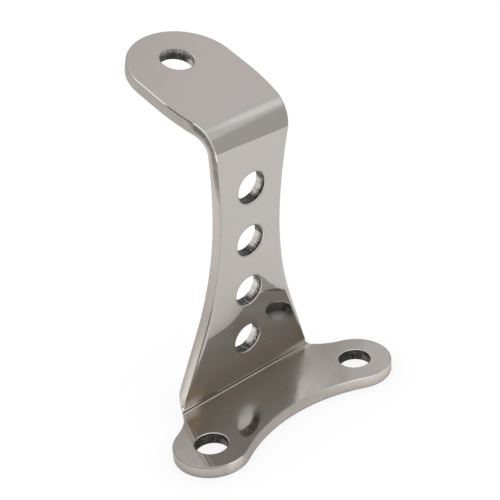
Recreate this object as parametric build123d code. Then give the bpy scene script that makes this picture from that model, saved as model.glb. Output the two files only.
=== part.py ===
from build123d import *
from math import acos, asin, atan2, cos, degrees, radians, sin, sqrt
import os

# Headlight bracket, in millimetres: one plate, cut as a flat blank and bent twice into a Z.
# The foot lies flat, with a bolt lobe at each side. The web stands behind the lobes and
# leans forward over them. The tab at its top slopes up to the back and carries the lamp.
# The origin lies midway between the two foot holes on the foot's underside. X runs along
# the bend lines, -Y is the front and +Z is up.

# Sheet and bends
plate_thickness = 5.0
bend_radius = 6.5  # inside radius that both bends are rolled to
crease_radius = 1.5  # inside radius that the lower bend is then pressed to, which thins it
neutral_share = 0.42  # depth of the unstretched layer from the inside of a bend, by thickness
web_lean = 8.0  # degrees that the web leans forward from upright
tab_rise = 18.5  # degrees that the tab slopes up towards the back

# Foot
foot_hole_spacing = 77.5
lobe_radius = 15.0
lobe_to_bend = 0.6  # flat left between the back of a lobe and the lower bend
front_arc_radius = 66.0
notch_radius = 22.0  # inside corner between a lobe and the flank of the web

# Web, with heights measured up the sheet from the lower bend
web_length = 101.5
waist_width = 30.0
waist_height = 69.1
flank_angle = 19.5  # degrees that the straight lower flanks spread from the centre line
lower_flank_radius = 135.0
upper_flank_radius = 215.0
shoulder_radius = 95.0
web_hole_diameter = 13.0
web_hole_count = 4
web_hole_pitch = 23.5
first_web_hole = 12.6

# Tab, with lengths measured along the sheet from the upper bend
tab_width = 43.0
tab_length = 51.0
stud_hole_reach = 33.4

# Fasteners
foot_bolt_diameter = 12.0
lamp_stud_diameter = 12.0
bolt_clearance = 1.0  # on the diameter of every bolted hole

# Polished edges
edge_rounding = 0.6
rim_rounding = 0.4

# Steps of the modelling
bend_sections = 8  # equal steps in which the side walls are swept round a bend
wall_reach = 1.0  # how far the side walls run past both faces before they are trimmed
slope_step = 0.01  # length over which the slope of the outline is taken

# Sizes that follow
half_spacing = foot_hole_spacing / 2
half_waist = waist_width / 2
half_tab = tab_width / 2
lower_turn = 90 + web_lean
upper_turn = lower_turn - tab_rise
neutral_radius = bend_radius + neutral_share * plate_thickness

# Places along the blank, from the line of the foot holes
lower_bend_start = lobe_radius + lobe_to_bend
web_start = lower_bend_start + radians(lower_turn) * neutral_radius
waist_place = web_start + waist_height
web_end = web_start + web_length
tab_start = web_end + radians(upper_turn) * neutral_radius
blank_end = tab_start + tab_length
blank_width = foot_hole_spacing + 2 * lobe_radius


def flat_blank():
    """The plate before it is bent: one half of its outline in arcs and lines, mirrored."""
    # Front edge, hollow between the lobes and tangent to both
    front_reach = front_arc_radius + lobe_radius
    front_angle = degrees(asin(half_spacing / front_reach))
    front_centre = Vector(0, -sqrt(front_reach**2 - half_spacing**2))
    front = CenterArc(front_centre, front_arc_radius, 90, -front_angle)

    # Straight lower flank, from the waist's arc down to where it meets the lobe
    across = Vector(cos(radians(flank_angle)), sin(radians(flank_angle)))
    along = Vector(across.Y, -across.X)
    waist_centre = Vector(half_waist + lower_flank_radius, waist_place)
    flank_top = waist_centre - across * lower_flank_radius
    lobe_centre = Vector(half_spacing, 0)
    to_lobe = lobe_centre - flank_top
    half_chord = sqrt(lobe_radius**2 - to_lobe.dot(across) ** 2)
    corner = flank_top + along * (to_lobe.dot(along) - half_chord)
    flank = Line(corner, flank_top)
    waist = CenterArc(waist_centre, lower_flank_radius, 180 + flank_angle, -flank_angle)

    # Lobe, from the front edge round to the flank
    lobe_start = -90 - front_angle
    lobe_end = degrees(atan2(corner.Y - lobe_centre.Y, corner.X - lobe_centre.X))
    lobe = CenterArc(lobe_centre, lobe_radius, lobe_start, lobe_end - lobe_start)

    # Upper flank, flared out of the waist and rounded over into the straight side of the tab
    sway_radius = upper_flank_radius + shoulder_radius
    sway_angle = degrees(acos(1 - (half_tab - half_waist) / sway_radius))
    flare_centre = Vector(half_waist + upper_flank_radius, waist_place)
    flare = CenterArc(flare_centre, upper_flank_radius, 180, -sway_angle)
    shoulder_end = waist_place + sway_radius * sin(radians(sway_angle))
    shoulder_centre = Vector(half_tab - shoulder_radius, shoulder_end)
    shoulder = CenterArc(shoulder_centre, shoulder_radius, -sway_angle, sway_angle)
    end_centre = blank_end - half_tab
    side = Line((half_tab, shoulder_end), (half_tab, end_centre))
    end = CenterArc((0, end_centre), half_tab, 0, 90)

    half = Curve() + [front, lobe, flank, waist, flare, shoulder, side, end]
    outline = make_face(half + mirror(half, about=Plane.YZ))
    notches = [v for v in outline.vertices() if abs(abs(v.X) - corner.X) + abs(v.Y - corner.Y) < slope_step]
    return fillet(notches, notch_radius)


def half_width(blank, place):
    """Half the width of the blank at a place along it."""
    crossing = blank.face().intersect(Edge.make_line((0, place), (blank_width, place)))
    inner = crossing.edges().sort_by(Axis.X)[0]
    return inner.bounding_box().max.X


def flat(blank, seat, start, stop):
    """A flat stretch of the plate, with its back face on the seat."""
    band = Pos(0, (start + stop) / 2) * Rectangle(blank_width, stop - start)
    return extrude(seat * Pos(0, -start) * (blank & band), amount=plate_thickness)


def bend(blank, seat, start, stop, turn):
    """A rolled stretch of the plate, and the seat of the flat that follows it.

    A positive turn folds the plate up towards its face, a negative one back from it. Both
    faces are true cylinders. On the inside of the bend and on its outside alike, each side
    wall leaves the two flats at their own slope.
    """
    side = -1 if turn > 0 else 1
    height = plate_thickness + bend_radius if turn > 0 else -bend_radius
    pivot = seat * Pos(0, 0, height)
    upright = Rot(90, 0, 0)
    inside = bend_radius
    outside = bend_radius + plate_thickness
    start_width = half_width(blank, start)
    stop_width = half_width(blank, stop)
    start_slope = (start_width - half_width(blank, start - slope_step)) / slope_step
    stop_slope = (half_width(blank, stop + slope_step) - stop_width) / slope_step
    growth = stop_width - start_width

    def wall_place(share, radius):
        run = radians(abs(turn)) * radius
        sway = (1 - share) * (start_slope * run - growth) + share * (growth - stop_slope * run)
        return start_width + share * growth + share * (1 - share) * sway

    def section(share):
        inner_place = wall_place(share, inside)
        lean = (wall_place(share, outside) - inner_place) / plate_thickness
        inner = inner_place - lean * wall_reach, side * (inside - wall_reach)
        outer = inner_place + lean * (plate_thickness + wall_reach), side * (outside + wall_reach)
        corners = [inner, outer, (-outer[0], outer[1]), (-inner[0], inner[1])]
        return pivot * Rot(turn * share, 0, 0) * upright * make_face(Polyline(corners, close=True))

    sheet = Pos(0, side * (inside + outside) / 2) * Rectangle(blank_width, plate_thickness)
    rolled = revolve(pivot * upright * sheet, Axis(pivot.position, (turn, 0, 0)), abs(turn))
    walls = loft([section(step / bend_sections) for step in range(-1, bend_sections + 2)])
    return rolled & walls, pivot * Rot(turn, 0, 0) * Pos(0, 0, -height)


def press_crease(bent, seat, turn):
    """The lower bend with its faces carried on into the inside corner, down to a small crease."""
    pivot = seat * Pos(0, 0, plate_thickness + bend_radius)
    first = pivot * Pos(0, 0, -bend_radius)
    last = pivot * Rot(turn, 0, 0) * Pos(0, 0, -bend_radius)
    corner = pivot * Rot(turn / 2, 0, 0) * Pos(0, 0, -bend_radius / cos(radians(turn / 2)))
    room = make_face(Polyline([place.position for place in (pivot, first, corner, last)], close=True))
    bent -= extrude(room, amount=blank_width, both=True)
    crease = bent.edges().filter_by(Axis.X).sort_by_distance(corner.position)[0]
    return fillet(crease, crease_radius)


def outer_edges(plate):
    """The sharp edges of the outline: all but the bend lines and the seams through the sheet."""
    edges = []
    for edge in plate.edges():
        span = edge @ 1 - edge @ 0
        bend_line = abs(abs(span.X) - edge.length) < slope_step
        seam = abs(span.length - plate_thickness) + abs(edge.length - plate_thickness) < slope_step
        if not bend_line and not seam:
            edges.append(edge)
    return edges


def drill(seat, x, y, diameter):
    """A hole square through the plate, centred at a place on the seat."""
    return seat * Pos(x, y, plate_thickness / 2) * Cylinder(diameter / 2, 2 * plate_thickness)


def headlight_bracket():
    blank = flat_blank()
    foot_seat = Pos(0, 0, 0)
    lower_seat = foot_seat * Pos(0, lower_bend_start)
    lower_bend, web_seat = bend(blank, lower_seat, lower_bend_start, web_start, lower_turn)
    lower_bend = press_crease(lower_bend, lower_seat, lower_turn)
    upper_seat = web_seat * Pos(0, web_length)
    upper_bend, tab_seat = bend(blank, upper_seat, web_end, tab_start, -upper_turn)
    foot = flat(blank, foot_seat * Pos(0, -blank_width), -blank_width, lower_bend_start)
    web = flat(blank, web_seat, web_start, web_end)
    tab = flat(blank, tab_seat, tab_start, blank_end)
    plate = foot + lower_bend + web + upper_bend + tab
    plate = fillet(outer_edges(plate), edge_rounding)

    for x in (-half_spacing, half_spacing):
        plate -= drill(foot_seat, x, 0, foot_bolt_diameter + bolt_clearance)
    for row in range(web_hole_count):
        plate -= drill(web_seat, 0, first_web_hole + row * web_hole_pitch, web_hole_diameter)
    plate -= drill(tab_seat, 0, stud_hole_reach, lamp_stud_diameter + bolt_clearance)
    rims = [edge for edge in plate.edges() if edge.is_closed]
    return fillet(rims, rim_rounding)


os.makedirs("parts", exist_ok=True)
export_step(headlight_bracket(), "parts/headlight_bracket.step")
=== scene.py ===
import math

import bmesh
import bpy
from mathutils import Matrix, Vector

bl_info = {
    "name": "Headlight Bracket",
    "version": (1, 0, 0),
    "blender": (4, 5, 0),
    "location": "View3D > Sidebar > Headlight Bracket",
    "description": "Polishes a bent steel headlight bracket and sets it on a white studio floor",
    "category": "Object",
}

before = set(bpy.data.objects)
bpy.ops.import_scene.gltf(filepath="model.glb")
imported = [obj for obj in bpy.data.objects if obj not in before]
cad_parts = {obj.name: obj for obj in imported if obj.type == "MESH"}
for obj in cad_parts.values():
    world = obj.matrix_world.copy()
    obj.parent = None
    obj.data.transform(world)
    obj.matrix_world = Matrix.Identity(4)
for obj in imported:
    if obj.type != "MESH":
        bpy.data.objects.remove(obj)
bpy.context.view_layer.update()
BRACKET = "headlight_bracket"

# The bent plate, in metres and degrees: where its foot, web and tab lie, for the finish
PLATE_THICKNESS = 0.005
BEND_RADIUS = 0.0065
CREASE_RADIUS = 0.0015
WEB_LEAN = math.radians(8.0)
TAB_RISE = math.radians(18.5)
LOWER_BEND_START = 0.0156
WEB_LENGTH = 0.1015
FOOT_HOLE_REACH = 0.03875
FIRST_WEB_HOLE = 0.0126
WEB_HOLE_PITCH = 0.0235
WEB_HOLE_COUNT = 4
STUD_HOLE_REACH = 0.0334
HOLE_RADIUS = 0.0065

# Flanks of the web, by height up the sheet from the lower bend
FLANK_TOP = 0.02404
FLANK_ANGLE = math.radians(19.5)
FLANK_RADIUS = 0.135
HALF_WAIST = 0.015
WAIST_HEIGHT = 0.0691

# Directions along the sheet and square to it
WEB_UP = Vector((0, -math.sin(WEB_LEAN), math.cos(WEB_LEAN)))
WEB_FACE = Vector((0, -math.cos(WEB_LEAN), -math.sin(WEB_LEAN)))
TAB_OUT = Vector((0, math.cos(TAB_RISE), math.sin(TAB_RISE)))
TAB_FACE = Vector((0, -math.sin(TAB_RISE), math.cos(TAB_RISE)))
FOOT_FACE = Vector((0, 0, 1))

# Centre lines of the two bends
LOWER_AXIS = Vector((0, LOWER_BEND_START, PLATE_THICKNESS + BEND_RADIUS))
UPPER_AXIS = LOWER_AXIS - WEB_FACE * (2 * BEND_RADIUS + PLATE_THICKNESS) + WEB_UP * WEB_LENGTH

# Middle of the crease that is pressed into the lower bend
CREASE_SIDE = (FOOT_FACE + WEB_FACE).normalized()
CREASE = LOWER_AXIS - CREASE_SIDE * ((BEND_RADIUS - CREASE_RADIUS) / CREASE_SIDE.z + CREASE_RADIUS)

# Along the sheet at the middle of the lower bend
MIDDLE_UP = (Vector((0, 1, 0)) + WEB_UP).normalized()

# Fades of the finish, in metres unless a heading says otherwise. Of two values, a part of the
# finish is gone at the first and full at the second, or has the two shares that go with them.
# Of four, it fades in over the first two and out over the last two. Places run from left to
# right, heights start at the floor, and shares named for a part of the plate are off it and on it.

# Parts of the plate, by height
FOOT_HEIGHTS = (0.012, 0.008)
WEB_HEIGHTS = (0.008, 0.012, 0.117, 0.121)
TAB_HEIGHTS = (0.119, 0.123)

# Turn away from the sheet's face, from 1 on the face to 0 on a cut edge
CUT_TURN = (0.85, 0.35)
ARRIS_TURN = (0.25, 0.5, 0.88, 0.98)
CREASE_CLEAR = (0.0018, 0.0028)  # reach from the crease, which is turned away but no cut edge

# Reach from a hole's axis
WALL_REACH = (HOLE_RADIUS * 1.25, HOLE_RADIUS * 1.1)
RING_REACH = (HOLE_RADIUS + 0.0008, HOLE_RADIUS + 0.0005)
WEB_RING_SHARES = (0.15, 0.3)

# Bloom, haze and wipes on the faces, by the level of their noise
BLOOM_PATCHES = (0.35, 0.65)
HAZE_PATCHES = (0.35, 0.7)
HAZE_FINENESS = 2.2  # patches of haze to one of bloom
HAZE_BLUR = (0.7, 1.5)  # shares of the face's roughness
WIPE_PATCHES = (0.4, 0.68)
WIPE_LENGTHS = (22.0, 16.0, 0.0)  # direction along the wipes, times wipes to the metre
WIPE_WIDTHS = (-95.0, 130.0, 0.0)  # the same across them
WIPE_SHARE = 0.5

# Dull polish round the crease, with a darker, warmer colour of painted shade
DULL_CORE = 0.35  # inner share of the dull reach that is fully dull
DULL_WANDER = 0.01
OFF_FOOT_HEIGHTS = (0.0055, 0.0075)
FOOT_DULL_SHARES = (0.5, 1.0)
FOOT_BLUR_HEIGHTS = (0.0058, 0.0054)
FOOT_BLUR_REACH = (0.02, 0.012)
FOOT_BLUR = 0.32
BLUR_ENDS = (0.022, 0.034)
BLUR_END_SHARES = (1.0, 0.15)

# Straw-coloured stain
STAIN_SQUEEZE = (0.7, 1.0, 1.0)  # which leaves it longer along the crease
STAIN_WANDER = 0.012
STAIN_REACH = (0.0082, 0.001)
STAIN_SHARE = 0.8
STAIN_HEIGHTS = (0.006, 0.009)

# Painted highlights and shade along the crease, by place, by reach from its middle, and by place across it,
# up to the web
LEFT_END = (-0.022, -0.029)
LEFT_END_REACH = (0.0055, 0.002)
LEFT_END_ACROSS = (0.0, 0.0006)
RIGHT_END = (0.013, 0.029)
RIGHT_END_REACH = (0.0028, 0.0012)
RIGHT_END_SHARE = 0.5
CREASE_REACH = (0.0014, 0.0009)
CREASE_ACROSS = (-0.0011, -0.0009)
WEB_SIDE_ACROSS = (0.0003, 0.0006)
WEB_SIDE_PLACES = (-0.0175, -0.0145)
WEB_SIDE_SHARE = 0.8
GLINT_ACROSS = (-0.0010, -0.0008, -0.0004, -0.0002)
CREASE_LINE_CORE = 0.5  # share of the line's width that is fully dark
CREASE_LINE_GRAIN = 90.0  # lighter patches to the metre
CREASE_LINE_PATCHES = (0.3, 0.6)
CREASE_LINE_SHARES = (0.7, 1.0)
CREASE_LINE_END = (0.031, 0.026)
CREASE_LINE_END_SHARES = (0.35, 1.0)

# Wedge of painted reflection, by distance past its sides
WEDGE_JAGS = 380.0  # to the metre
WEDGE_JAG_DEPTH = 0.002
WEDGE_TOP_SIDE = (0.0003, -0.0003)
WEDGE_LOW_SIDE = (-0.0004, 0.0004)
WEDGE_PLACES = (0.0025, 0.006)
WEDGE_SLANT = (0.15, 0.35)  # how far the face is turned from the eye, up to 1

# Cut edges, by level in the sheet from 0 at the back to 1 at the front. A fineness counts
# patches to one of the finest streaks.
BROAD_FINENESS = 0.18
GRAIN_FINENESS = 0.1
GRAIN_LAYERS = 3.0  # patches of grain from the back to the front
MIDDLE_LEVELS = (0.0, 0.4, 0.6, 1.0)
HALF_LEVEL = 0.5
GRAIN_SHARE = 0.6
MIDDLE_SHARE = 0.22
STREAK_SHARE = 0.25
WARM_PATCHES = (0.4, 0.75)
STREAK_PATCHES = (0.3, 0.7)
STREAK_BLUR = (0.8, 1.2)  # shares of the edge's roughness

# Painted highlights on stretches of the cut edges
LIGHT_WEB_HEIGHTS = (0.046, 0.024)
LIGHT_WEB_LEVELS = (0.15, 0.7)
LOW_FOOT_LEVELS = (0.85, 0.1)
LOW_FOOT_PLACES = (-0.045, -0.02)
LOW_FOOT_SHARES = (0.15, 1.0)
LEFT_LOBE = (-0.0445, -0.0415, -0.037, -0.034)
RIGHT_LOBE = (0.006, 0.03)
RIGHT_LOBE_END = (0.052, 0.04)
RIGHT_LOBE_SHARES = (0.35, 1.0)
LOBE_SHARE = 0.72

# Dark lines on the cut edges, by level. The upper bend counts by reach from its centre line and
# by place along the tab.
UPPER_BEND_REACH = (0.031, 0.009)
UPPER_BEND_TAB = (0.005, -0.001)
LINE_STARTS = (0.82, 0.22)  # away from the upper bend and at it
LINE_WIDTH = 0.4
WEB_LINE_SHARE = 0.15
BEND_LINE_SHARE = 0.85
LINE_PATCHES = (0.25, 0.6)
LINE_SHARES = (0.7, 1.0)
BACK_LINE_LEVELS = (0.14, 0.04)
BACK_LINE_FOOT_SHARES = (0.45, 0.1)

# Drilled walls, with painted shade and painted highlights. A turn is how far a wall faces the side that it
# is named for, up to 1.
STRIPE_FINENESS = 2.5
FLECK_FINENESS = 3.5
FLECK_DEPTH = 2.0  # against the depth of the streaks on the cut edges
HIGHLIT_TURN = (0.72, 1.0)
HIGHLIT_LEVELS = (0.85, 0.35)
HIGHLIT_SHARES = (0.1, 1.0)
TAB_HIGHLIT_LEVELS = (0.3, 1.0)
TAB_HIGHLIT_SHARES = (0.05, 0.5)
FOOT_HIGHLIT_HEIGHTS = (0.009, 0.006)
FOOT_HIGHLIT_SHARE = 0.14
WEB_STRIPE_SHARES = (0.35, 1.5)
TAB_FLECK_SHARES = (3.2, 1.6)
HIGHLIT_PATCHES = (0.12, 0.92)
COOL_TURN = (0.2, 0.8)
COOL_HEIGHTS = (0.008, 0.006)

# Painted highlights and shade on the arrises, with places along the tab and past the web's end counted from
# the upper bend
LIT_TURN = (0.05, 0.5)
BEND_ARRIS_TAB = (0.0015, 0.0)
BEND_ARRIS_WEB = (-0.0015, 0.0)
FAR_TAB = (0.0125, 0.015, 0.031, 0.038)
NEAR_TAB = (-0.001, 0.0015, 0.0125, 0.015)
FOOT_GLEAM = (-0.005, 0.032)
FOOT_GLEAM_SHARES = (0.15, 1.0)
TAB_RIM_SHARES = (1.0, 0.3)
LOW_WEB_HEIGHTS = (0.008, 0.012, 0.042, 0.058)
LEFT_FOOT_LINE = (-0.0425, -0.045)
LEFT_FOOT_SHARE = 0.6
LEAST_ARRIS = 0.2
LEFT_ARRIS = (0.004, -0.004)
LEFT_ARRIS_SHARES = (0.15, 1.0)
ARRIS_SHARE = 0.85

# Relief
FOOT_TOP_TURN = (0.93, 0.99)
FOOT_TOP_HEIGHTS = (0.006, 0.0055)
FLANK_ROLL_UP = (0.0, 0.008, 0.035, 0.055)

# Studio, with depths that grow towards the back
FLOOR_SIDES = 96
CONTACT_SAMPLES = 8
WALL_LIFT = 0.0005  # gap between the floor and the wall's lower edge
PATCH_CORE = 0.15  # inner share of a patch's reach that is full
BACK_TINT_DEPTHS = (0.04, 0.12)
BACK_FADE_DEPTHS = (0.12, 0.27)
BACK_FADE_SHARES = (1.0, 0.35)
WALL_TOP = (0.77, 0.97)  # shares of the wall's height over which it turns white
SENSOR_WIDTH = 36
WHITE = (1.0, 1.0, 1.0)
WORLD_LIGHT = 1.0

# What properties of the same kind have in common
COLOUR = {"subtype": "COLOR", "min": 0, "max": 1}
SHARE = {"subtype": "FACTOR", "min": 0, "max": 1}
WALL_PLACE = {"subtype": "XYZ", "unit": "LENGTH", "size": 2}


class Wiring:
    """Adds nodes to a tree and joins them up."""

    def __init__(self, tree):
        self.tree = tree
        tree.nodes.clear()

    def feed(self, socket, value):
        """Join a value from another node to a socket, or set it there."""
        if isinstance(value, bpy.types.NodeSocket):
            self.tree.links.new(value, socket)
        else:
            socket.default_value = value

    def node(self, kind, inputs=None, **settings):
        made = self.tree.nodes.new(kind)
        for name, value in settings.items():
            setattr(made, name, value)
        for name, value in (inputs or {}).items():
            self.feed(made.inputs[name], value)
        return made

    def math(self, operation, *values):
        return self.node("ShaderNodeMath", dict(enumerate(values)), operation=operation).outputs[0]

    def gather(self, operation, values):
        """Several values made into one, two at a time."""
        result, *others = values
        for value in others:
            result = self.math(operation, result, value)
        return result

    def times(self, *values):
        return self.gather("MULTIPLY", values)

    def plus(self, *values):
        return self.gather("ADD", values)

    def most(self, *values):
        return self.gather("MAXIMUM", values)

    def minus(self, first, second):
        return self.math("SUBTRACT", first, second)

    def past(self, value, limit):
        """1 where the value is over the limit, and 0 elsewhere."""
        return self.math("GREATER_THAN", value, limit)

    def vector(self, operation, *values):
        made = self.node("ShaderNodeVectorMath", dict(enumerate(values)), operation=operation)
        return made.outputs["Value" if operation in {"DOT_PRODUCT", "LENGTH"} else "Vector"]

    def along(self, offset, direction):
        """How far an offset goes in a direction."""
        return self.vector("DOT_PRODUCT", offset, direction)

    def scale(self, vector, factor):
        inputs = {0: vector, "Scale": factor}
        return self.node("ShaderNodeVectorMath", inputs, operation="SCALE").outputs["Vector"]

    def split(self, vector):
        return self.node("ShaderNodeSeparateXYZ", {0: vector}).outputs

    def combine(self, x, y=0.0):
        return self.node("ShaderNodeCombineXYZ", {"X": x, "Y": y}).outputs[0]

    def blend(self, share, first, second, kind="FLOAT"):
        made = self.node("ShaderNodeMix", {"Factor": share}, data_type=kind)
        slots = [socket for socket in made.inputs if socket.enabled and socket.name in {"A", "B"}]
        for socket, value in zip(slots, (first, second)):
            self.feed(socket, value)
        return next(socket for socket in made.outputs if socket.enabled)

    def tint(self, share, *colours):
        """Two colours mixed, each from another node or as three numbers."""
        mixed = [one if isinstance(one, bpy.types.NodeSocket) else (*one, 1) for one in colours]
        return self.blend(share, *mixed, "RGBA")

    def ease(self, value, low, high, to_low=0.0, to_high=1.0):
        """A smooth step from one level to another as the value goes from low to high."""
        inputs = {"Value": value, 1: low, 2: high, 3: to_low, 4: to_high}
        return self.node("ShaderNodeMapRange", inputs, interpolation_type="SMOOTHSTEP").outputs[0]

    def stretch(self, value, start, full, last, end):
        """1 from full to last, and 0 before the start and after the end."""
        return self.times(self.ease(value, start, full), self.ease(value, end, last))

    def noise(self, place, scale, detail=3.0, roughness=0.6, distortion=0.0):
        inputs = {
            "Vector": place,
            "Scale": scale,
            "Detail": detail,
            "Roughness": roughness,
            "Distortion": distortion,
        }
        return self.node("ShaderNodeTexNoise", inputs).outputs["Fac"]

    def swing(self, noise):
        """A noise counted from its middle level, so that it goes both ways."""
        return self.minus(noise, 0.5)

    def seen(self):
        """1 where a ray comes from the camera, a reflection or a transmission, and 0 elsewhere."""
        path = self.node("ShaderNodeLightPath").outputs
        return self.most(*[path[f"Is {kind} Ray"] for kind in ("Camera", "Glossy", "Transmission")])


class BentSteel(Wiring):
    """The nodes of the polished steel, which know where on the bent plate a point lies."""

    def __init__(self, tree, finish):
        super().__init__(tree)
        self.finish = finish
        self.place = self.node("ShaderNodeTexCoord").outputs["Object"]
        self.facing = self.node("ShaderNodeNewGeometry").outputs["Normal"]
        self.x, self.y, self.height = self.split(self.place)
        self.sideways = self.math("ABSOLUTE", self.x)
        self.from_lower = self.vector("SUBTRACT", self.place, LOWER_AXIS)
        self.from_upper = self.vector("SUBTRACT", self.place, UPPER_AXIS)
        self.up_web = self.along(self.from_lower, WEB_UP)
        self.past_web = self.along(self.from_upper, WEB_UP)
        self.along_tab = self.along(self.from_upper, TAB_OUT)
        self.find_stretches()
        self.find_turn()
        self.find_level()
        self.find_holes()
        self.find_zones()
        self.make_grain()

    def off_line(self, offset):
        """The part of an offset that is square to the bend lines."""
        return self.vector("MULTIPLY", offset, (0.0, 1.0, 1.0))

    def find_stretches(self):
        """1 past the line where each stretch of the sheet starts: bend, web, upper bend and tab."""
        back, raised = self.minus(self.y, LOWER_AXIS.y), self.minus(self.height, LOWER_AXIS.z)
        self.in_bend = self.past(self.most(back, raised), 0.0)
        self.in_web = self.times(self.past(self.up_web, 0.0), self.in_bend)
        self.in_upper_bend = self.past(self.past_web, 0.0)
        self.in_tab = self.times(self.past(self.along_tab, 0.0), self.in_upper_bend)

    def find_turn(self):
        """The direction square to the sheet, and how far the surface faces that way."""
        lower_spoke = self.vector("NORMALIZE", self.off_line(self.from_lower))
        upper_spoke = self.vector("NORMALIZE", self.off_line(self.from_upper))
        square = self.blend(self.in_bend, FOOT_FACE, lower_spoke, "VECTOR")
        square = self.blend(self.in_web, square, WEB_FACE, "VECTOR")
        square = self.blend(self.in_upper_bend, square, upper_spoke, "VECTOR")
        self.square = self.blend(self.in_tab, square, TAB_FACE, "VECTOR")

        # In the lower bend the inner faces stay flat down to the crease
        past_crease = self.past(self.along(self.from_lower, MIDDLE_UP), 0.0)
        flat = self.blend(past_crease, FOOT_FACE, WEB_FACE, "VECTOR")
        flat = self.blend(self.in_upper_bend, flat, self.square, "VECTOR")
        turns = [self.math("ABSOLUTE", self.along(self.facing, way)) for way in (self.square, flat)]
        self.turned = self.most(*turns)

    def find_level(self):
        """Level through the sheet: 0 on the underside and the back, 1 on the top and the front."""
        outside = BEND_RADIUS + PLATE_THICKNESS
        self.bend_reach = self.vector("LENGTH", self.off_line(self.from_upper))
        bend_rise = self.minus(outside, self.vector("LENGTH", self.off_line(self.from_lower)))
        web_rise = self.plus(self.along(self.from_lower, WEB_FACE), outside)
        upper_bend_rise = self.minus(self.bend_reach, BEND_RADIUS)
        tab_rise = self.minus(self.along(self.from_upper, TAB_FACE), BEND_RADIUS)
        rise = self.blend(self.in_bend, self.height, bend_rise)
        rise = self.blend(self.in_web, rise, web_rise)
        rise = self.blend(self.in_upper_bend, rise, upper_bend_rise)
        self.level = self.math("DIVIDE", self.blend(self.in_tab, rise, tab_rise), PLATE_THICKNESS)

    def find_holes(self):
        """Distance to the nearest hole axis, measured in the plane of the sheet."""
        up = self.minus(self.up_web, FIRST_WEB_HOLE)
        past_last = self.minus(up, (WEB_HOLE_COUNT - 1) * WEB_HOLE_PITCH)
        between = self.math("PINGPONG", up, WEB_HOLE_PITCH / 2)
        up = self.most(between, past_last, self.times(up, -1.0))
        out = self.minus(self.along_tab, STUD_HOLE_REACH)
        aside = self.minus(self.sideways, FOOT_HOLE_REACH)
        spans = [(aside, self.y), (self.sideways, up), (self.sideways, out)]
        foot, web, tab = [self.vector("LENGTH", self.combine(*span)) for span in spans]
        self.hole_reach = self.blend(self.in_upper_bend, self.blend(self.in_bend, foot, web), tab)

    def find_zones(self):
        """Find the parts of the plate and the cut edges, arrises and drilled walls."""
        self.on_foot = self.ease(self.height, *FOOT_HEIGHTS)
        self.on_web = self.stretch(self.height, *WEB_HEIGHTS)
        self.on_tab = self.ease(self.height, *TAB_HEIGHTS)
        self.left_lobe = self.stretch(self.x, *LEFT_LOBE)
        from_crease = self.vector("SUBTRACT", self.place, CREASE)
        self.crease_reach = self.vector("LENGTH", self.off_line(from_crease))
        self.across = self.along(from_crease, MIDDLE_UP)

        # Cut edges are where the surface turns away from the sheet's face, with an arris between
        off_crease = self.ease(self.crease_reach, *CREASE_CLEAR)
        self.cut = self.times(self.ease(self.turned, *CUT_TURN), off_crease)
        self.arris = self.times(self.stretch(self.turned, *ARRIS_TURN), off_crease)
        self.by_hole = self.ease(self.hole_reach, *WALL_REACH)
        self.drilled = self.times(self.cut, self.by_hole)

        # A place that is the same all through the sheet, so streaks run straight across an edge
        inward = self.scale(self.square, self.along(self.place, self.square))
        self.through = self.vector("SUBTRACT", self.place, inward)

    def make_grain(self):
        """Noise that more than one part of the finish uses."""
        width = self.finish.streak_width
        fineness = HAZE_FINENESS / self.finish.bloom_size
        self.haze = self.noise(self.place, fineness, detail=4.0, roughness=0.65)
        self.streaks = self.noise(self.through, 1 / width)
        self.stripes = self.noise(self.through, STRIPE_FINENESS / width, detail=2.0)
        self.flecks = self.noise(self.place, FLECK_FINENESS / width, detail=2.0, roughness=0.7)

    def faces(self):
        """Colour and roughness of the faces: warm and cool bloom, faint wipes and a varying haze."""
        finish = self.finish
        bloom = self.noise(self.place, 1 / finish.bloom_size, distortion=0.6)
        bloom = self.ease(bloom, *BLOOM_PATCHES)
        colour = self.tint(bloom, finish.face_colour, finish.bloom_colour)
        wipes = [self.along(self.place, spacing) for spacing in (WIPE_LENGTHS, WIPE_WIDTHS)]
        wipes = self.ease(self.noise(self.combine(*wipes), 1.0), *WIPE_PATCHES)
        wiped = self.times(wipes, self.on_foot, WIPE_SHARE)
        colour = self.tint(wiped, colour, finish.wiped_colour)
        least, greatest = [finish.face_roughness * share for share in HAZE_BLUR]
        roughness = self.ease(self.haze, *HAZE_PATCHES, least, greatest)
        colour, roughness = self.dull_polish(colour, roughness)
        return self.wedge_and_ring(self.crease(colour)), roughness

    def dull_polish(self, colour, roughness):
        """Round the crease the wheel reaches badly: duller, with a darker, warmer colour of painted shade,
        and a stain at one end.
        """
        finish = self.finish
        reach = self.plus(self.crease_reach, self.times(self.haze, DULL_WANDER))
        dull = self.ease(reach, finish.dull_reach, finish.dull_reach * DULL_CORE)
        # The darker, warmer colour is painted shade in the corner between foot and web
        tint = self.times(dull, self.ease(self.height, *OFF_FOOT_HEIGHTS, *FOOT_DULL_SHARES))
        colour = self.tint(tint, colour, finish.dull_and_shaded_colour)
        blur = self.ease(self.height, *FOOT_BLUR_HEIGHTS)
        blur = self.times(blur, self.ease(self.sideways, *FOOT_BLUR_REACH, 0.0, FOOT_BLUR))
        ends = self.ease(self.sideways, *BLUR_ENDS, *BLUR_END_SHARES)
        roughness = self.blend(self.times(self.most(dull, blur), ends), roughness, finish.dull_roughness)

        from_middle = self.vector("SUBTRACT", self.place, finish.stain_place)
        away = self.vector("LENGTH", self.vector("MULTIPLY", from_middle, STAIN_SQUEEZE))
        away = self.plus(away, self.times(self.swing(self.haze), STAIN_WANDER))
        stain = self.ease(away, *STAIN_REACH, 0.0, STAIN_SHARE)
        stain = self.times(stain, self.ease(self.height, *STAIN_HEIGHTS))
        return self.tint(stain, colour, finish.stain_colour), roughness

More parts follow.
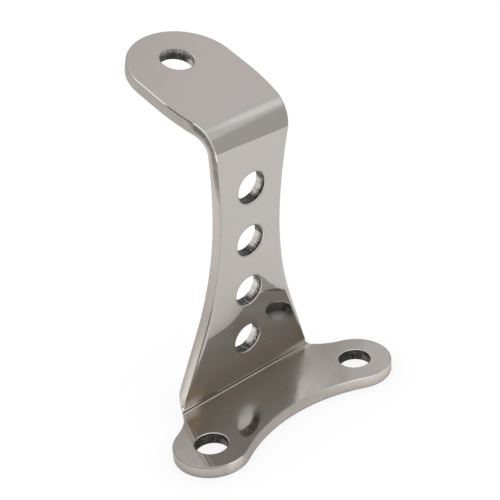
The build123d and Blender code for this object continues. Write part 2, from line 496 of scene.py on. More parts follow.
    def crease(self, colour):
        """The crease: painted highlights at its ends, painted shade on both sides with a thin painted
        highlight, and a thin dark line of painted shade.
        """
        finish = self.finish
        # Painted highlights at both ends of the crease
        left_end = self.times(
            self.ease(self.x, *LEFT_END),
            self.ease(self.crease_reach, *LEFT_END_REACH),
            self.ease(self.across, *LEFT_END_ACROSS),
        )
        right_end = self.ease(self.x, *RIGHT_END, 0.0, RIGHT_END_SHARE)
        right_end = self.times(right_end, self.ease(self.crease_reach, *RIGHT_END_REACH))
        brightened = self.most(left_end, right_end)
        colour = self.tint(brightened, colour, finish.crease_end_highlight)

        # Painted shade on both sides of the crease, with a thin painted highlight in it
        close = self.ease(self.crease_reach, *CREASE_REACH)
        web_side = self.ease(self.x, *WEB_SIDE_PLACES, 0.0, WEB_SIDE_SHARE)
        web_side = self.times(self.ease(self.across, *WEB_SIDE_ACROSS), web_side)
        bare = self.minus(1.0, self.most(web_side, brightened))
        shade = self.times(close, self.ease(self.across, *CREASE_ACROSS), bare)
        colour = self.tint(shade, colour, finish.crease_shade)
        glint = self.times(self.stretch(self.across, *GLINT_ACROSS), shade)
        colour = self.tint(glint, colour, finish.crease_glint)

        # A thin dark line of painted shade along the middle of the crease
        off_middle = self.math("ABSOLUTE", self.across)
        grain = self.noise(self.place, CREASE_LINE_GRAIN)
        line = self.times(
            self.ease(off_middle, finish.crease_width, finish.crease_width * CREASE_LINE_CORE),
            self.ease(grain, *CREASE_LINE_PATCHES, *CREASE_LINE_SHARES),
            close,
            self.ease(self.x, *CREASE_LINE_END, *CREASE_LINE_END_SHARES),
        )
        return self.tint(line, colour, finish.crease_line_shade)

    def beyond(self, start, end):
        """How far a point lies to the left of the line from start to end, seen from the front."""
        along = (Vector(end) - Vector(start)).normalized()
        square = Vector((-along.y, 0, along.x))
        return self.minus(self.along(self.place, square), square.x * start[0] + square.z * start[1])

    def wedge_and_ring(self, colour):
        """A wedge of painted reflection beside the second web hole, which shows on a slant only, and a dark
        ring round rims.
        """
        finish = self.finish
        jag = self.times(self.swing(self.noise(self.place, WEDGE_JAGS)), WEDGE_JAG_DEPTH)
        past_top = self.plus(self.beyond(finish.wedge_reflection_top, finish.wedge_reflection_tip), jag)
        past_root = self.beyond(finish.wedge_reflection_root, finish.wedge_reflection_tip)
        slant = self.node("ShaderNodeLayerWeight").outputs["Facing"]
        wedge = self.times(
            self.ease(past_top, *WEDGE_TOP_SIDE),
            self.ease(past_root, *WEDGE_LOW_SIDE),
            self.ease(self.x, *WEDGE_PLACES),
            self.past(self.level, HALF_LEVEL),
            self.ease(slant, *WEDGE_SLANT),
        )
        colour = self.tint(wedge, colour, finish.wedge_reflection_colour)
        ring = self.ease(self.hole_reach, *RING_REACH)
        ring = self.times(ring, self.blend(self.on_web, *WEB_RING_SHARES))
        return self.tint(ring, colour, finish.line_and_shade_colour)

    def edges(self):
        """Colour and roughness of the cut edges: streaks from the linisher, warm and grey in turn."""
        finish = self.finish
        slow = self.scale(self.through, GRAIN_FINENESS / finish.streak_width)
        quick = self.scale(self.square, self.times(self.level, GRAIN_LAYERS))
        grain = self.noise(self.vector("ADD", slow, quick), 1.0)
        middle = self.stretch(self.level, *MIDDLE_LEVELS)
        warm = self.plus(
            self.times(grain, GRAIN_SHARE),
            self.times(middle, MIDDLE_SHARE),
            self.times(self.streaks, STREAK_SHARE),
        )
        warm = self.ease(warm, *WARM_PATCHES)
        colour = self.tint(warm, finish.edge_colour, finish.edge_warm_colour)
        colour = self.tint(self.edge_highlights(), colour, finish.edge_highlight_colour)
        colour = self.tint(self.edge_lines(), colour, finish.line_and_shade_colour)
        least, greatest = [finish.edge_roughness * share for share in STREAK_BLUR]
        return colour, self.ease(self.streaks, *STREAK_PATCHES, least, greatest)

    def edge_highlights(self):
        """Share of the painted highlight: low on the web, low on the foot and round its lobes."""
        low_web = self.ease(self.height, *LIGHT_WEB_HEIGHTS)
        low_web = self.times(self.on_web, low_web, self.ease(self.level, *LIGHT_WEB_LEVELS))
        low_foot = self.ease(self.x, *LOW_FOOT_PLACES, *LOW_FOOT_SHARES)
        low_foot = self.times(self.ease(self.level, *LOW_FOOT_LEVELS), low_foot)
        right_lobe = self.ease(self.x, *RIGHT_LOBE_END, *RIGHT_LOBE_SHARES)
        right_lobe = self.times(self.ease(self.x, *RIGHT_LOBE), right_lobe)
        lobes = self.times(self.most(self.left_lobe, right_lobe), LOBE_SHARE)
        return self.most(low_web, self.times(self.on_foot, self.most(low_foot, lobes)))

    def edge_lines(self):
        """Share of the dark lines: one beside the front arris, and one along the back."""
        near_bend = self.ease(self.bend_reach, *UPPER_BEND_REACH)
        near_bend = self.times(near_bend, self.ease(self.along_tab, *UPPER_BEND_TAB))
        start = self.blend(near_bend, *LINE_STARTS)
        bend_share = self.times(near_bend, BEND_LINE_SHARE)
        share = self.most(self.times(self.on_web, WEB_LINE_SHARE), bend_share)
        front = self.ease(self.level, start, self.plus(start, LINE_WIDTH), 0.0, share)
        fineness = BROAD_FINENESS / self.finish.streak_width
        broad = self.noise(self.through, fineness, detail=2.0, roughness=0.5)
        front = self.times(front, self.ease(broad, *LINE_PATCHES, *LINE_SHARES))
        back = self.ease(self.level, *BACK_LINE_LEVELS)
        back = self.times(back, self.blend(self.on_foot, *BACK_LINE_FOOT_SHARES))
        return self.most(front, back)

    def walls(self):
        """Colour of the drilled walls: dark with painted shade and flecked, with a painted highlight on one
        side.
        """
        finish = self.finish
        # Painted highlight on the side that faces the light, on the tab's upper walls and low on the foot
        side = self.ease(self.along(self.facing, finish.wall_highlight_side), *HIGHLIT_TURN)
        side = self.times(side, self.ease(self.level, *HIGHLIT_LEVELS, *HIGHLIT_SHARES))
        tab_top = self.ease(self.level, *TAB_HIGHLIT_LEVELS, *TAB_HIGHLIT_SHARES)
        tab_top = self.times(self.on_tab, tab_top)
        foot = self.ease(self.height, *FOOT_HIGHLIT_HEIGHTS, 0.0, FOOT_HIGHLIT_SHARE)
        stripes = self.blend(self.on_web, *WEB_STRIPE_SHARES)
        stripes = self.times(self.swing(self.stripes), stripes)
        flecks = self.blend(self.on_tab, *TAB_FLECK_SHARES)
        flecks = self.times(self.swing(self.flecks), flecks)
        highlit = self.plus(self.most(side, tab_top, foot), stripes, flecks)
        cool = self.ease(self.split(self.facing)["Y"], *COOL_TURN)
        cool = self.times(cool, self.ease(self.height, *COOL_HEIGHTS))
        colour = self.tint(cool, finish.wall_colour, finish.cool_wall_colour)
        return self.tint(self.ease(highlit, *HIGHLIT_PATCHES), colour, finish.wall_highlight_colour)

    def arrises(self, colour):
        """The rounded edges of the faces: a painted highlight where they gleam and face the light, else
        painted shade.
        """
        finish = self.finish
        on_bend = self.ease(self.along_tab, *BEND_ARRIS_TAB)
        on_bend = self.times(on_bend, self.ease(self.past_web, *BEND_ARRIS_WEB))
        far_tab = self.stretch(self.along_tab, *FAR_TAB)
        near_tab = self.stretch(self.along_tab, *NEAR_TAB)
        foot = self.ease(self.x, *FOOT_GLEAM, *FOOT_GLEAM_SHARES)
        foot = self.times(self.on_foot, self.most(self.left_lobe, foot))
        rims = self.times(self.by_hole, self.blend(self.on_tab, *TAB_RIM_SHARES))
        gleam = self.most(on_bend, far_tab, foot, rims)
        low_web = self.stretch(self.height, *LOW_WEB_HEIGHTS)
        left_foot = self.ease(self.x, *LEFT_FOOT_LINE, 0.0, LEFT_FOOT_SHARE)
        left_foot = self.times(self.on_foot, left_foot)
        strength = self.most(gleam, near_tab, low_web, left_foot, LEAST_ARRIS)
        left = self.ease(self.x, *LEFT_ARRIS, *LEFT_ARRIS_SHARES)
        strength = self.times(strength, self.most(left, self.by_hole, self.on_foot))
        # Painted highlight where an arris faces the light, painted shade where it faces away
        lit = self.ease(self.along(self.facing, finish.lit_side), *LIT_TURN)
        over = self.tint(self.times(lit, gleam), finish.line_and_shade_colour, finish.arris_highlight_colour)
        return self.tint(self.times(self.arris, strength, ARRIS_SHARE), colour, over)

    def flank_roll(self):
        """Height of the web's face where polishing has rolled it off beside the lower flanks."""
        reach, slope = self.finish.roll_reach, self.finish.roll_slope
        below = self.most(self.minus(FLANK_TOP, self.up_web), 0.0)
        straight = self.times(below, math.tan(FLANK_ANGLE))
        rise = self.minus(WAIST_HEIGHT, self.most(self.up_web, FLANK_TOP))
        arc = self.math("SQRT", self.minus(FLANK_RADIUS**2, self.times(rise, rise)))
        flank = self.minus(self.plus(straight, HALF_WAIST + FLANK_RADIUS), arc)
        inset = self.math("DIVIDE", self.minus(flank, self.sideways), reach)
        inset = self.most(self.minus(1.0, inset), 0.0)
        full_drop = reach * math.tan(slope) / 2
        drop = self.times(inset, inset, -full_drop)
        return self.times(drop, self.stretch(self.up_web, *FLANK_ROLL_UP))

    def relief(self):
        """Waves and a hollow along the crease on the faces, streaks on edges, flecks in holes."""
        finish = self.finish
        waves = self.noise(self.place, 1 / finish.wave_length, detail=1.0, roughness=0.4)
        waves = self.times(waves, finish.wave_height)
        fall = self.math("EXPONENT", self.math("DIVIDE", self.crease_reach, -finish.hollow_reach))
        hollow = self.times(fall, math.tan(finish.hollow_slope) * finish.hollow_reach)
        faces = self.plus(waves, self.plus(hollow, self.flank_roll()))
        edges = self.times(self.streaks, finish.streak_depth)
        walls = self.times(self.plus(self.stripes, self.flecks), finish.streak_depth * FLECK_DEPTH)
        height = self.blend(self.drilled, self.blend(self.cut, faces, edges), walls)

        # The foot's face slopes a little sideways
        on_top = self.ease(self.split(self.facing)["Z"], *FOOT_TOP_TURN)
        on_top = self.times(on_top, self.ease(self.height, *FOOT_TOP_HEIGHTS))
        slope = self.combine(self.times(on_top, math.tan(finish.foot_slope)))
        tilted = self.vector("NORMALIZE", self.vector("ADD", self.facing, slope))
        inputs = {"Height": height, "Strength": 1.0, "Distance": 1.0, "Normal": tilted}
        return self.node("ShaderNodeBump", inputs).outputs["Normal"]


def polished_steel(finish):
    """Near-mirror faces, satin cut edges with streaks across them, and rough drilled walls."""
    material = bpy.data.materials.new("polished_steel")
    material.use_nodes = True
    steel = BentSteel(material.node_tree, finish)
    colour, roughness = steel.faces()
    edge_colour, edge_roughness = steel.edges()
    colour = steel.tint(steel.cut, colour, edge_colour)
    colour = steel.arrises(steel.tint(steel.drilled, colour, steel.walls()))
    roughness = steel.blend(steel.cut, roughness, edge_roughness)
    roughness = steel.blend(steel.drilled, roughness, finish.wall_roughness)
    inputs = {"Base Color": colour, "Roughness": roughness, "Normal": steel.relief(), "Metallic": 1.0}
    shader = steel.node("ShaderNodeBsdfPrincipled", inputs)
    steel.node("ShaderNodeOutputMaterial", {"Surface": shader.outputs[0]})
    return material


def new_material(name):
    """An empty node material, and the wiring that fills it."""
    material = bpy.data.materials.new(name)
    material.use_nodes = True
    return material, Wiring(material.node_tree)


def white_floor(stage):
    """White paper that glows for the camera and the steel, with a soft contact shadow."""
    material, wiring = new_material("white_floor")
    colour = (*stage.floor_colour, 1)
    inputs = {"Color": colour, "Distance": stage.contact_reach}
    near = wiring.node("ShaderNodeAmbientOcclusion", inputs, samples=CONTACT_SAMPLES)
    paper = wiring.node("ShaderNodeBsdfDiffuse", {"Color": near.outputs["Color"]}).outputs[0]
    white = wiring.node("ShaderNodeEmission", {"Color": colour, "Strength": 1.0}).outputs[0]
    mirrored = wiring.node("ShaderNodeLightPath").outputs["Is Glossy Ray"]
    shade = wiring.blend(mirrored, stage.shadow_share, stage.mirrored_shadow_share)
    share = wiring.times(wiring.seen(), wiring.minus(1.0, shade))
    mixed = wiring.node("ShaderNodeMixShader", {0: share, 1: paper, 2: white}).outputs[0]
    wiring.node("ShaderNodeOutputMaterial", {"Surface": mixed})
    return material


def grey_wall(stage):
    """Glowing grey wall with patches and a window on its right side, lighter towards the top."""
    material, wiring = new_material("grey_wall")
    place = wiring.node("ShaderNodeTexCoord").outputs["Object"]
    y, z = [wiring.split(place)[axis] for axis in ("Y", "Z")]

    def patch(centre, reach):
        middle = Vector((stage.wall_width / 2, *centre))
        away = wiring.vector("LENGTH", wiring.vector("SUBTRACT", place, middle))
        return wiring.ease(away, reach, reach * PATCH_CORE)

    patches = (
        (stage.dark_place, stage.dark_reach, stage.dark_colour),
        (stage.back_place, stage.back_reach, stage.back_colour),
        (stage.low_place, stage.low_reach, stage.low_colour),
        (stage.far_place, stage.far_reach, stage.far_colour),
    )
    lower = stage.wall_colour
    for centre, reach, over in patches:
        lower = wiring.tint(patch(centre, reach), lower, over)
    upper = wiring.ease(y, *BACK_TINT_DEPTHS)
    upper = wiring.tint(upper, stage.upper_colour, stage.upper_back_colour)
    high = wiring.ease(z, stage.dark_height, stage.light_height)
    high = wiring.times(high, wiring.ease(y, *BACK_FADE_DEPTHS, *BACK_FADE_SHARES))
    top = wiring.ease(z, *[stage.wall_height * share for share in WALL_TOP])
    colour = wiring.tint(top, wiring.tint(high, lower, upper), WHITE)
    glow = wiring.times(patch(stage.window_place, stage.window_reach), stage.window_glow)
    inputs = {"Color": colour, "Strength": wiring.plus(glow, 1.0)}
    grey = wiring.node("ShaderNodeEmission", inputs).outputs[0]
    wiring.node("ShaderNodeOutputMaterial", {"Surface": grey})
    return material


def add_shape(context, name, shape, material):
    """Turn a shape that was drawn in memory into an object of one material."""
    mesh = bpy.data.meshes.new(name)
    shape.to_mesh(mesh)
    shape.free()
    mesh.materials.append(material)
    made = bpy.data.objects.new(name, mesh)
    context.collection.objects.link(made)
    return made


class BracketFinish(bpy.types.PropertyGroup):
    """Colours and surface of the polished bracket"""

    face_colour: bpy.props.FloatVectorProperty(
        name="Face colour", description="Colour of the polished faces",
        default=(0.478, 0.463, 0.437), **COLOUR
    )
    bloom_colour: bpy.props.FloatVectorProperty(
        name="Bloom colour", description="Faint second tint left on the faces by the polishing wheel",
        default=(0.497, 0.459, 0.432), **COLOUR
    )
    bloom_size: bpy.props.FloatProperty(
        name="Bloom size", description="Distance between patches of the two face tints",
        unit="LENGTH", min=0.001, default=0.012
    )
    wiped_colour: bpy.props.FloatVectorProperty(
        name="Wiped colour",
        description="Faint lighter wipes of the polishing wheel, slanting across the foot",
        default=(0.56, 0.54, 0.51), **COLOUR
    )
    face_roughness: bpy.props.FloatProperty(
        name="Face roughness", description="Blur of the reflections in the faces", default=0.045, **SHARE
    )
    wave_length: bpy.props.FloatProperty(
        name="Wave length", description="Distance between the soft waves in the polished faces",
        unit="LENGTH", min=0.001, default=0.018
    )
    wave_height: bpy.props.FloatProperty(
        name="Wave height", description="Height of the soft waves in the polished faces",
        unit="LENGTH", min=0, default=0.0002
    )
    edge_colour: bpy.props.FloatVectorProperty(
        name="Edge colour", description="Grey streaks on the cut edges",
        default=(0.50, 0.48, 0.455), **COLOUR
    )
    edge_warm_colour: bpy.props.FloatVectorProperty(
        name="Warm edge colour", description="Warm streaks on the cut edges",
        default=(0.56, 0.502, 0.453), **COLOUR
    )
    # Painted highlight on stretches of the cut edges
    edge_highlight_colour: bpy.props.FloatVectorProperty(
        name="Light edge colour", description="Lighter cut edges on the foot and low on the web",
        default=(0.77, 0.70, 0.64), **COLOUR
    )
    edge_roughness: bpy.props.FloatProperty(
        name="Edge roughness", description="Blur of the reflections in the cut edges", default=0.32, **SHARE
    )
    # Painted highlight on the arrises that face the light
    arris_highlight_colour: bpy.props.FloatVectorProperty(
        name="Arris colour", description="Bright rounded edge between a face and a cut edge",
        default=(0.90, 0.89, 0.87), **COLOUR
    )
    lit_side: bpy.props.FloatVectorProperty(
        name="Lit side", description="Direction that the bright rounded edges face",
        subtype="DIRECTION", default=(-0.81, -0.30, 0.50)
    )
    # Also the painted shade on the arrises that face away from the light
    line_and_shade_colour: bpy.props.FloatVectorProperty(
        name="Line colour", description="Dark lines on the cut edges and round the holes",
        default=(0.12, 0.11, 0.10), **COLOUR
    )
    streak_width: bpy.props.FloatProperty(
        name="Streak width", description="Width of the finest streaks across the cut edges",
        unit="LENGTH", min=0.0001, default=0.0012
    )
    streak_depth: bpy.props.FloatProperty(
        name="Streak depth", description="Depth of the streaks across the cut edges",
        unit="LENGTH", min=0, default=0.000012
    )
    hollow_slope: bpy.props.FloatProperty(
        name="Hollow slope",
        description="Slope of the shallow hollow that the bending leaves beside the crease",
        unit="ROTATION", min=0, default=math.radians(2.75)
    )
    hollow_reach: bpy.props.FloatProperty(
        name="Hollow reach", description="Distance from the crease over which the hollow levels out",
        unit="LENGTH", min=0.001, default=0.054
    )
    foot_slope: bpy.props.FloatProperty(
        name="Foot slope", description="Faint sideways slope of the foot's face, left by the bending",
        unit="ROTATION", default=math.radians(2.1)
    )
    roll_reach: bpy.props.FloatProperty(
        name="Roll reach",
        description="Width of the strip that polishing has rolled off beside the web's lower flanks",
        unit="LENGTH", min=0.0005, default=0.0021
    )
    roll_slope: bpy.props.FloatProperty(
        name="Roll slope", description="Slope of the rolled-off strip at its outer side",
        unit="ROTATION", min=0, default=math.radians(26)
    )
    # Painted reflection: a tan wedge beside the second web hole, seen on a slant only
    wedge_reflection_colour: bpy.props.FloatVectorProperty(
        name="Reflection colour", description="Tan wedge beside the second web hole from the foot",
        default=(0.27, 0.243, 0.212), **COLOUR
    )
    wedge_reflection_top: bpy.props.FloatVectorProperty(
        name="Reflection top", description="Upper corner of the tan wedge, along X and up",
        default=(0.004, 0.0545), **WALL_PLACE
    )
    wedge_reflection_tip: bpy.props.FloatVectorProperty(
        name="Reflection tip", description="Outer corner of the tan wedge, along X and up",
        default=(0.018, 0.0394), **WALL_PLACE
    )
    wedge_reflection_root: bpy.props.FloatVectorProperty(
        name="Reflection root", description="Lower corner of the tan wedge, along X and up",
        default=(0.0075, 0.0443), **WALL_PLACE
    )
    dull_reach: bpy.props.FloatProperty(
        name="Dull reach", description="Distance from the crease over which the polish is duller",
        unit="LENGTH", min=0.005, default=0.032
    )
    # Partly painted shade: the duller polish takes a darker, warmer colour that stands for the shade in the
    # corner between foot and web
    dull_and_shaded_colour: bpy.props.FloatVectorProperty(
        name="Dull colour", description="Warmer colour of the duller polish round the crease",
        default=(0.381, 0.337, 0.297), **COLOUR
    )
    dull_roughness: bpy.props.FloatProperty(
        name="Dull roughness", description="Blur of the reflections close to the crease",
        default=0.38, **SHARE
    )
    stain_place: bpy.props.FloatVectorProperty(
        name="Stain place", description="Middle of the straw-coloured stain at the end of the crease",
        subtype="XYZ", unit="LENGTH", default=(-0.031, 0.0218, 0.0115)
    )
    stain_colour: bpy.props.FloatVectorProperty(
        name="Stain colour", description="Straw colour left by the heat of polishing",
        default=(0.54, 0.44, 0.31), **COLOUR
    )
    crease_shade: bpy.props.FloatVectorProperty(
        name="Crease shade", description="Both sides of the crease", default=(0.175, 0.157, 0.138), **COLOUR
    )
    # Painted highlight at both ends of the crease
    crease_end_highlight: bpy.props.FloatVectorProperty(
        name="Highlighted colour", description="Lighter face where the wheel has rubbed the ends of the crease",
        default=(0.92, 0.86, 0.79), **COLOUR
    )
    crease_glint: bpy.props.FloatVectorProperty(
        name="Crease glint", description="Thin light line beside the dark one",
        default=(0.58, 0.54, 0.50), **COLOUR
    )
    # The dark line along the crease is painted shade
    crease_width: bpy.props.FloatProperty(
        name="Half crease width", description="Half the width of the dark line along the lower bend",
        unit="LENGTH", min=0.0001, default=0.0004
    )
    crease_line_shade: bpy.props.FloatVectorProperty(
        name="Crease colour", description="Dark line left along the lower bend",
        default=(0.09, 0.078, 0.065), **COLOUR
    )
    # Painted shade: the drilled walls are near black
    wall_colour: bpy.props.FloatVectorProperty(
        name="Hole wall colour", description="Dark colour of the drilled walls",
        default=(0.05, 0.048, 0.045), **COLOUR
    )
    cool_wall_colour: bpy.props.FloatVectorProperty(
        name="Cool wall colour", description="Bluish colour of the foot's hole walls that face the web",
        default=(0.25, 0.28, 0.30), **COLOUR
    )
    # Painted highlight on the side of the drilled walls that faces the light
    wall_highlight_colour: bpy.props.FloatVectorProperty(
        name="Highlit wall colour", description="Bright colour of the drilled walls where they are worn",
        default=(0.95, 0.91, 0.88), **COLOUR
    )
    wall_highlight_side: bpy.props.FloatVectorProperty(
        name="Highlit side", description="Direction that the worn side of the drilled walls faces",
        subtype="DIRECTION", default=(-0.87, 0.0, 0.5)
    )
    wall_roughness: bpy.props.FloatProperty(
        name="Hole wall roughness", description="Blur of the reflections in the drilled walls",
        default=0.45, **SHARE
    )


class BracketStage(bpy.types.PropertyGroup):
    """Floor, wall, lamp and camera round the bracket"""

    floor_radius: bpy.props.FloatProperty(
        name="Floor radius", description="Radius of the round studio floor",
        unit="LENGTH", min=0.1, default=3.0
    )
    floor_colour: bpy.props.FloatVectorProperty(
        name="Floor colour", description="Colour of the studio floor", default=(1.0, 1.0, 1.0), **COLOUR
    )
    shadow_share: bpy.props.FloatProperty(
        name="Shadow share", description="How much of the floor's light can be shaded by the bracket",
        default=0.12, **SHARE
    )
    mirrored_shadow_share: bpy.props.FloatProperty(
        name="Mirrored shadow share", description="The same where the floor is seen in the steel",
        default=1.0, **SHARE
    )
    contact_reach: bpy.props.FloatProperty(
        name="Contact reach", description="Distance over which the bracket darkens the floor close to it",
        unit="LENGTH", min=0.001, default=0.025
    )
    wall_colour: bpy.props.FloatVectorProperty(
        name="Wall colour",
        description="Lower part of the grey wall round the stage, which only the steel mirrors",
        default=(0.64, 0.64, 0.63), **COLOUR
    )
    back_colour: bpy.props.FloatVectorProperty(
        name="Back patch colour", description="Lighter patch low on the right wall, behind the bracket",
        default=(0.95, 0.95, 0.94), **COLOUR
    )
    back_place: bpy.props.FloatVectorProperty(
        name="Back patch place", description="Place of the lighter patch, along Y and up",
        default=(0.175, 0.185), **WALL_PLACE
    )
    back_reach: bpy.props.FloatProperty(
        name="Back patch reach", description="Distance over which the lighter patch fades out",
        unit="LENGTH", min=0.01, default=0.068
    )
    dark_colour: bpy.props.FloatVectorProperty(
        name="Dark patch colour", description="Darker patch low on the right wall, in front of the bracket",
        default=(0.38, 0.38, 0.37), **COLOUR
    )
    dark_place: bpy.props.FloatVectorProperty(
        name="Dark patch place", description="Place of the darker patch, along Y and up",
        default=(-0.138, 0.178), **WALL_PLACE
    )
    dark_reach: bpy.props.FloatProperty(
        name="Dark patch reach", description="Distance over which the darker patch fades out",
        unit="LENGTH", min=0.01, default=0.026
    )
    low_colour: bpy.props.FloatVectorProperty(
        name="Low patch colour", description="Light patch low on the right wall",
        default=(0.80, 0.80, 0.79), **COLOUR
    )
    low_place: bpy.props.FloatVectorProperty(
        name="Low patch place", description="Place of the low light patch, along Y and up",
        default=(0.098, 0.112), **WALL_PLACE
    )
    low_reach: bpy.props.FloatProperty(
        name="Low patch reach", description="Distance over which the low light patch fades out",
        unit="LENGTH", min=0.01, default=0.045
    )
    far_colour: bpy.props.FloatVectorProperty(
        name="Far patch colour", description="Darker patch on the right wall, far behind the bracket",
        default=(0.44, 0.44, 0.43), **COLOUR
    )
    far_place: bpy.props.FloatVectorProperty(
        name="Far patch place", description="Place of the far dark patch, along Y and up",
        default=(0.240, 0.165), **WALL_PLACE
    )
    far_reach: bpy.props.FloatProperty(
        name="Far patch reach", description="Distance over which the far dark patch fades out",
        unit="LENGTH", min=0.01, default=0.055
    )
    upper_colour: bpy.props.FloatVectorProperty(
        name="Upper wall colour", description="Upper part of the grey wall",
        default=(0.87, 0.90, 0.91), **COLOUR
    )
    upper_back_colour: bpy.props.FloatVectorProperty(
        name="Upper back wall colour", description="Upper part of the wall behind the bracket",
        default=(0.91, 0.88, 0.90), **COLOUR
    )
    wall_width: bpy.props.FloatProperty(
        name="Wall width", description="Distance between the walls left and right of the bracket",
        unit="LENGTH", min=0.2, default=0.346
    )
    wall_depth: bpy.props.FloatProperty(
        name="Wall depth", description="Distance between the walls in front of the bracket and behind it",
        unit="LENGTH", min=0.2, default=0.8
    )
    wall_height: bpy.props.FloatProperty(
        name="Wall height", description="Height of the grey wall's top edge",
        unit="LENGTH", min=0.05, default=0.6
    )
    dark_height: bpy.props.FloatProperty(
        name="Dark height", description="Height up to which the wall has its lower colour",
        unit="LENGTH", min=0, default=0.235
    )
    light_height: bpy.props.FloatProperty(
        name="Light height", description="Height above which the wall has its upper colour",
        unit="LENGTH", min=0, default=0.295
    )
    window_place: bpy.props.FloatVectorProperty(
        name="Window place", description="Place of the bright window in the right wall, along Y and up",
        default=(-0.078, 0.326), **WALL_PLACE
    )
    window_reach: bpy.props.FloatProperty(
        name="Window reach", description="Distance over which the window's glow fades out",
        unit="LENGTH", min=0.01, default=0.085
    )
    window_glow: bpy.props.FloatProperty(
        name="Window glow", description="How much brighter than the wall the window is", min=0, default=0.34
    )
    softbox_size: bpy.props.FloatProperty(
        name="Softbox size", description="Side of the square lamp overhead",
        unit="LENGTH", min=0.05, default=1.4
    )
    softbox_height: bpy.props.FloatProperty(
        name="Softbox height", description="Height of the lamp overhead",
        unit="LENGTH", min=0.2, default=0.9
    )
    softbox_power: bpy.props.FloatProperty(
        name="Softbox power", description="Power of the lamp overhead", unit="POWER", min=0, default=0.8
    )
    aim: bpy.props.FloatVectorProperty(
        name="Aim", description="Point that the camera turns about",
        subtype="TRANSLATION", unit="LENGTH", default=(-0.012378, 0.005195, 0.063253)
    )
    azimuth: bpy.props.FloatProperty(
        name="Azimuth", description="Direction of the camera round the bracket",
        unit="ROTATION", default=math.radians(-39.33)
    )
    elevation: bpy.props.FloatProperty(
        name="Elevation", description="Height of the camera above the horizon",
        unit="ROTATION", default=math.radians(30.225)
    )
    roll: bpy.props.FloatProperty(
        name="Roll", description="Tilt of the camera about its own line of sight",
        unit="ROTATION", default=math.radians(-4.922)
    )
    distance: bpy.props.FloatProperty(
        name="Distance", description="Distance from the camera to its aim",
        unit="LENGTH", min=0.05, default=0.504432
    )
    lens: bpy.props.FloatProperty(
        name="Lens", description="Focal length on a 36 mm sensor", unit="CAMERA", min=1, default=98.07
    )
    shift: bpy.props.FloatVectorProperty(
        name="Shift", description="Sideways and upward shift of the lens, by sensor width",
        size=2, default=(0.01435, 0.0591)
    )


class BRACKET_OT_finish(bpy.types.Operator):
    """Give the bent plate its polished faces, satin edges and rough holes"""

    bl_idname = "headlight_bracket.finish"
    bl_label = "Polish Bracket"
    bl_options = {"REGISTER", "UNDO"}

    def execute(self, context):
        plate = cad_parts.get(BRACKET)
        if plate is None:
            raise RuntimeError("the packed model has no headlight bracket")
        steel = polished_steel(context.scene.bracket_finish)
        for slot in plate.material_slots:
            slot.link = "OBJECT"
            slot.material = steel
        return {"FINISHED"}


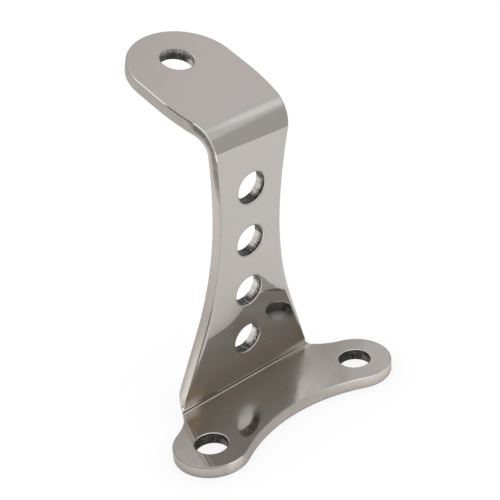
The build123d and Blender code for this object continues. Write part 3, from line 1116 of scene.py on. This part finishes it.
class BRACKET_OT_stage(bpy.types.Operator):
    """Set up the white floor, the wall that the steel mirrors, the lamp and the camera"""

    bl_idname = "headlight_bracket.stage"
    bl_label = "Set Stage"
    bl_options = {"REGISTER", "UNDO"}

    def execute(self, context):
        stage = context.scene.bracket_stage
        self.floor(context, stage)
        self.wall(context, stage)
        self.lamp(context, stage)
        self.world(context)
        self.camera(context, stage)
        return {"FINISHED"}

    def floor(self, context, stage):
        disc = bmesh.new()
        bmesh.ops.create_circle(disc, cap_ends=True, segments=FLOOR_SIDES, radius=stage.floor_radius)
        floor = add_shape(context, "studio_floor", disc, white_floor(stage))

    def wall(self, context, stage):
        box = bmesh.new()
        half_width, half_depth = stage.wall_width / 2, stage.wall_depth / 2
        low, high = [], []
        for x, y in ((1, -1), (1, 1), (-1, 1), (-1, -1)):
            for ring, height in ((low, WALL_LIFT), (high, stage.wall_height)):
                ring.append(box.verts.new((x * half_width, y * half_depth, height)))
        for side in range(len(low)):
            after = (side + 1) % len(low)
            box.faces.new((low[side], low[after], high[after], high[side]))
        wall = add_shape(context, "studio_wall", box, grey_wall(stage))
        wall.visible_camera = False
        wall.visible_diffuse = False
        wall.visible_shadow = False

    def lamp(self, context, stage):
        lamp = bpy.data.lights.new("softbox", "AREA")
        lamp.shape = "SQUARE"
        lamp.size = stage.softbox_size
        lamp.energy = stage.softbox_power
        softbox = bpy.data.objects.new("softbox", lamp)
        softbox.location = (0, 0, stage.softbox_height)
        context.collection.objects.link(softbox)

    def world(self, context):
        world = bpy.data.worlds.new("studio_world")
        world.use_nodes = True
        context.scene.world = world
        wiring = Wiring(world.node_tree)
        soft, white = [
            wiring.node("ShaderNodeBackground", {"Color": (*WHITE, 1), "Strength": strength}).outputs[0]
            for strength in (WORLD_LIGHT, 1.0)
        ]
        mixed = wiring.node("ShaderNodeMixShader", {0: wiring.seen(), 1: soft, 2: white}).outputs[0]
        wiring.node("ShaderNodeOutputWorld", {"Surface": mixed})

    def camera(self, context, stage):
        azimuth, elevation = stage.azimuth, stage.elevation
        reach = math.cos(elevation)
        back = Vector((math.sin(azimuth) * reach, -math.cos(azimuth) * reach, math.sin(elevation)))
        level = Vector((math.cos(azimuth), math.sin(azimuth), 0))
        upright = back.cross(level)
        right = level * math.cos(stage.roll) + upright * math.sin(stage.roll)
        up = upright * math.cos(stage.roll) - level * math.sin(stage.roll)
        lens = bpy.data.cameras.new("camera")
        lens.lens = stage.lens
        lens.sensor_width = SENSOR_WIDTH
        lens.shift_x, lens.shift_y = stage.shift
        camera = bpy.data.objects.new("camera", lens)
        turn = Matrix((right, up, back)).transposed().to_4x4()
        camera.matrix_world = Matrix.Translation(Vector(stage.aim) + back * stage.distance) @ turn
        context.collection.objects.link(camera)
        context.scene.camera = camera
        context.scene.view_settings.view_transform = "Standard"


class BRACKET_PT_sidebar(bpy.types.Panel):
    """Sizes, colours and steps of the headlight bracket"""

    bl_idname = "BRACKET_PT_sidebar"
    bl_label = "Headlight Bracket"
    bl_space_type = "VIEW_3D"
    bl_region_type = "UI"
    bl_category = "Headlight Bracket"

    def draw(self, context):
        steps = (("bracket_finish", BRACKET_OT_finish), ("bracket_stage", BRACKET_OT_stage))
        for settings, operator in steps:
            group = getattr(context.scene, settings)
            column = self.layout.column(align=True)
            for name in type(group).__annotations__:
                column.prop(group, name)
            self.layout.operator(operator.bl_idname)


CLASSES = (BracketFinish, BracketStage, BRACKET_OT_finish, BRACKET_OT_stage, BRACKET_PT_sidebar)


def register():
    for item in CLASSES:
        bpy.utils.register_class(item)
    bpy.types.Scene.bracket_finish = bpy.props.PointerProperty(type=BracketFinish)
    bpy.types.Scene.bracket_stage = bpy.props.PointerProperty(type=BracketStage)


def unregister():
    del bpy.types.Scene.bracket_stage
    del bpy.types.Scene.bracket_finish
    for item in reversed(CLASSES):
        bpy.utils.unregister_class(item)


def main():
    register()
    bpy.ops.headlight_bracket.finish()
    bpy.ops.headlight_bracket.stage()


if __name__ == "__main__":
    main()
